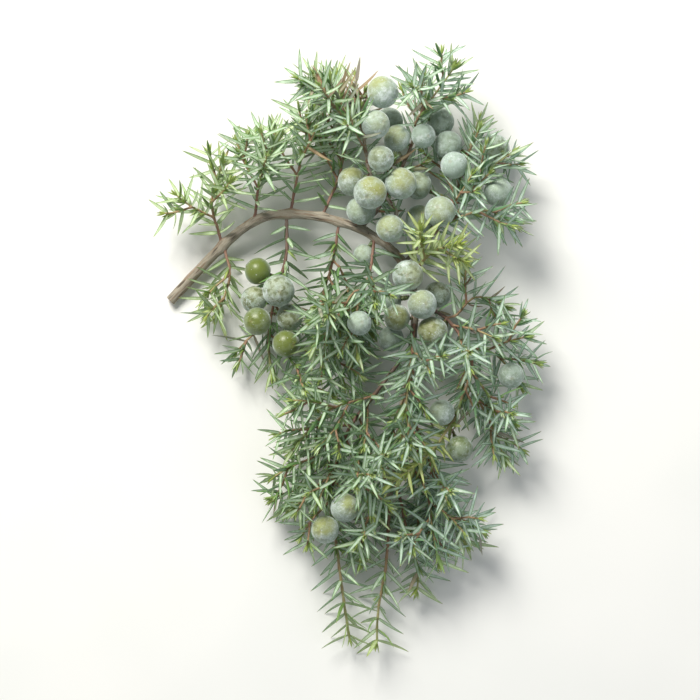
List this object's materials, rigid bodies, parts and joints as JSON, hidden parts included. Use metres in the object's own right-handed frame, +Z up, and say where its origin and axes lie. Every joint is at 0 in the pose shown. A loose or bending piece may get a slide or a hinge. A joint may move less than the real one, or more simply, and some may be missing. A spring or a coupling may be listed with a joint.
{
  "type": "juniper berry sprig",
  "caption": "Cut sprig of common juniper lying on its side: an arching woody stem, needle shoots in whorls of three, and round bloomed berries on short stalks.",
  "frame": {"origin": "middle of the sprig's outline, on the surface that it lies on", "axes": "+Y runs from the hanging tips to the top of the berry clusters, +X to the right of someone looking down on it, +Z up from the surface"},
  "size_m": [0.1136, 0.1712, 0.0386],
  "materials": {
    "bark": "thin grey-brown bark of a young juniper stem",
    "needles": "blue-green needles with a pale waxy band",
    "young_needles": "soft yellow-green needles of this year's growth",
    "berry_bloom": "round berry under a pale waxy bloom, rubbed in places",
    "berry_green": "olive-green unripe berry with little bloom"
  },
  "bodies": {
    "root": {"berry_01": "berry_bloom", "berry_02": "berry_bloom", "berry_03": "berry_bloom", "berry_04": "berry_bloom", "berry_05": "berry_bloom", "berry_06": "berry_bloom", "berry_07": "berry_bloom", "berry_08": "berry_bloom", "berry_09": "berry_bloom", "berry_10": "berry_bloom", "berry_11": "berry_bloom", "berry_12": "berry_bloom", "berry_13": "berry_bloom", "berry_14": "berry_bloom", "berry_15": "berry_bloom", "berry_16": "berry_bloom", "berry_17": "berry_bloom", "berry_18": "berry_bloom", "berry_19": "berry_bloom", "berry_20": "berry_bloom", "berry_21": "berry_bloom", "berry_22": "berry_bloom", "berry_23": "berry_bloom", "berry_24": "berry_bloom", "berry_25": "berry_bloom", "berry_26": "berry_green", "berry_27": "berry_green", "berry_28": "berry_green", "berry_29": "berry_green", "berry_30": "berry_green", "berry_31": "berry_green", "berry_32": "berry_bloom", "berry_33": "berry_bloom", "berry_34": "berry_bloom", "berry_35": "berry_bloom", "berry_36": "berry_bloom", "berry_37": "berry_bloom", "berry_38": "berry_bloom", "berry_39": "berry_bloom", "shoot_behind_berries": "needles", "shoot_front_centre": "needles", "shoot_front_left": "needles", "shoot_glaucous": "needles", "shoot_inner_left": "needles", "shoot_leader": "needles", "shoot_low_left": "needles", "shoot_lower_right": "needles", "shoot_top_inner": "needles", "shoot_top_left": "needles", "shoot_top_star": "needles", "shoot_under_arch": "needles", "shoot_young_bright": "young_needles", "shoot_young_tuft": "young_needles", "stem": "bark", "twig_berry_left": "needles", "twig_berry_middle": "needles", "twig_berry_right": "needles", "twig_green_berries": "needles", "twig_left": "needles", "twig_right_red": "needles"}
  },
  "joints": []
}
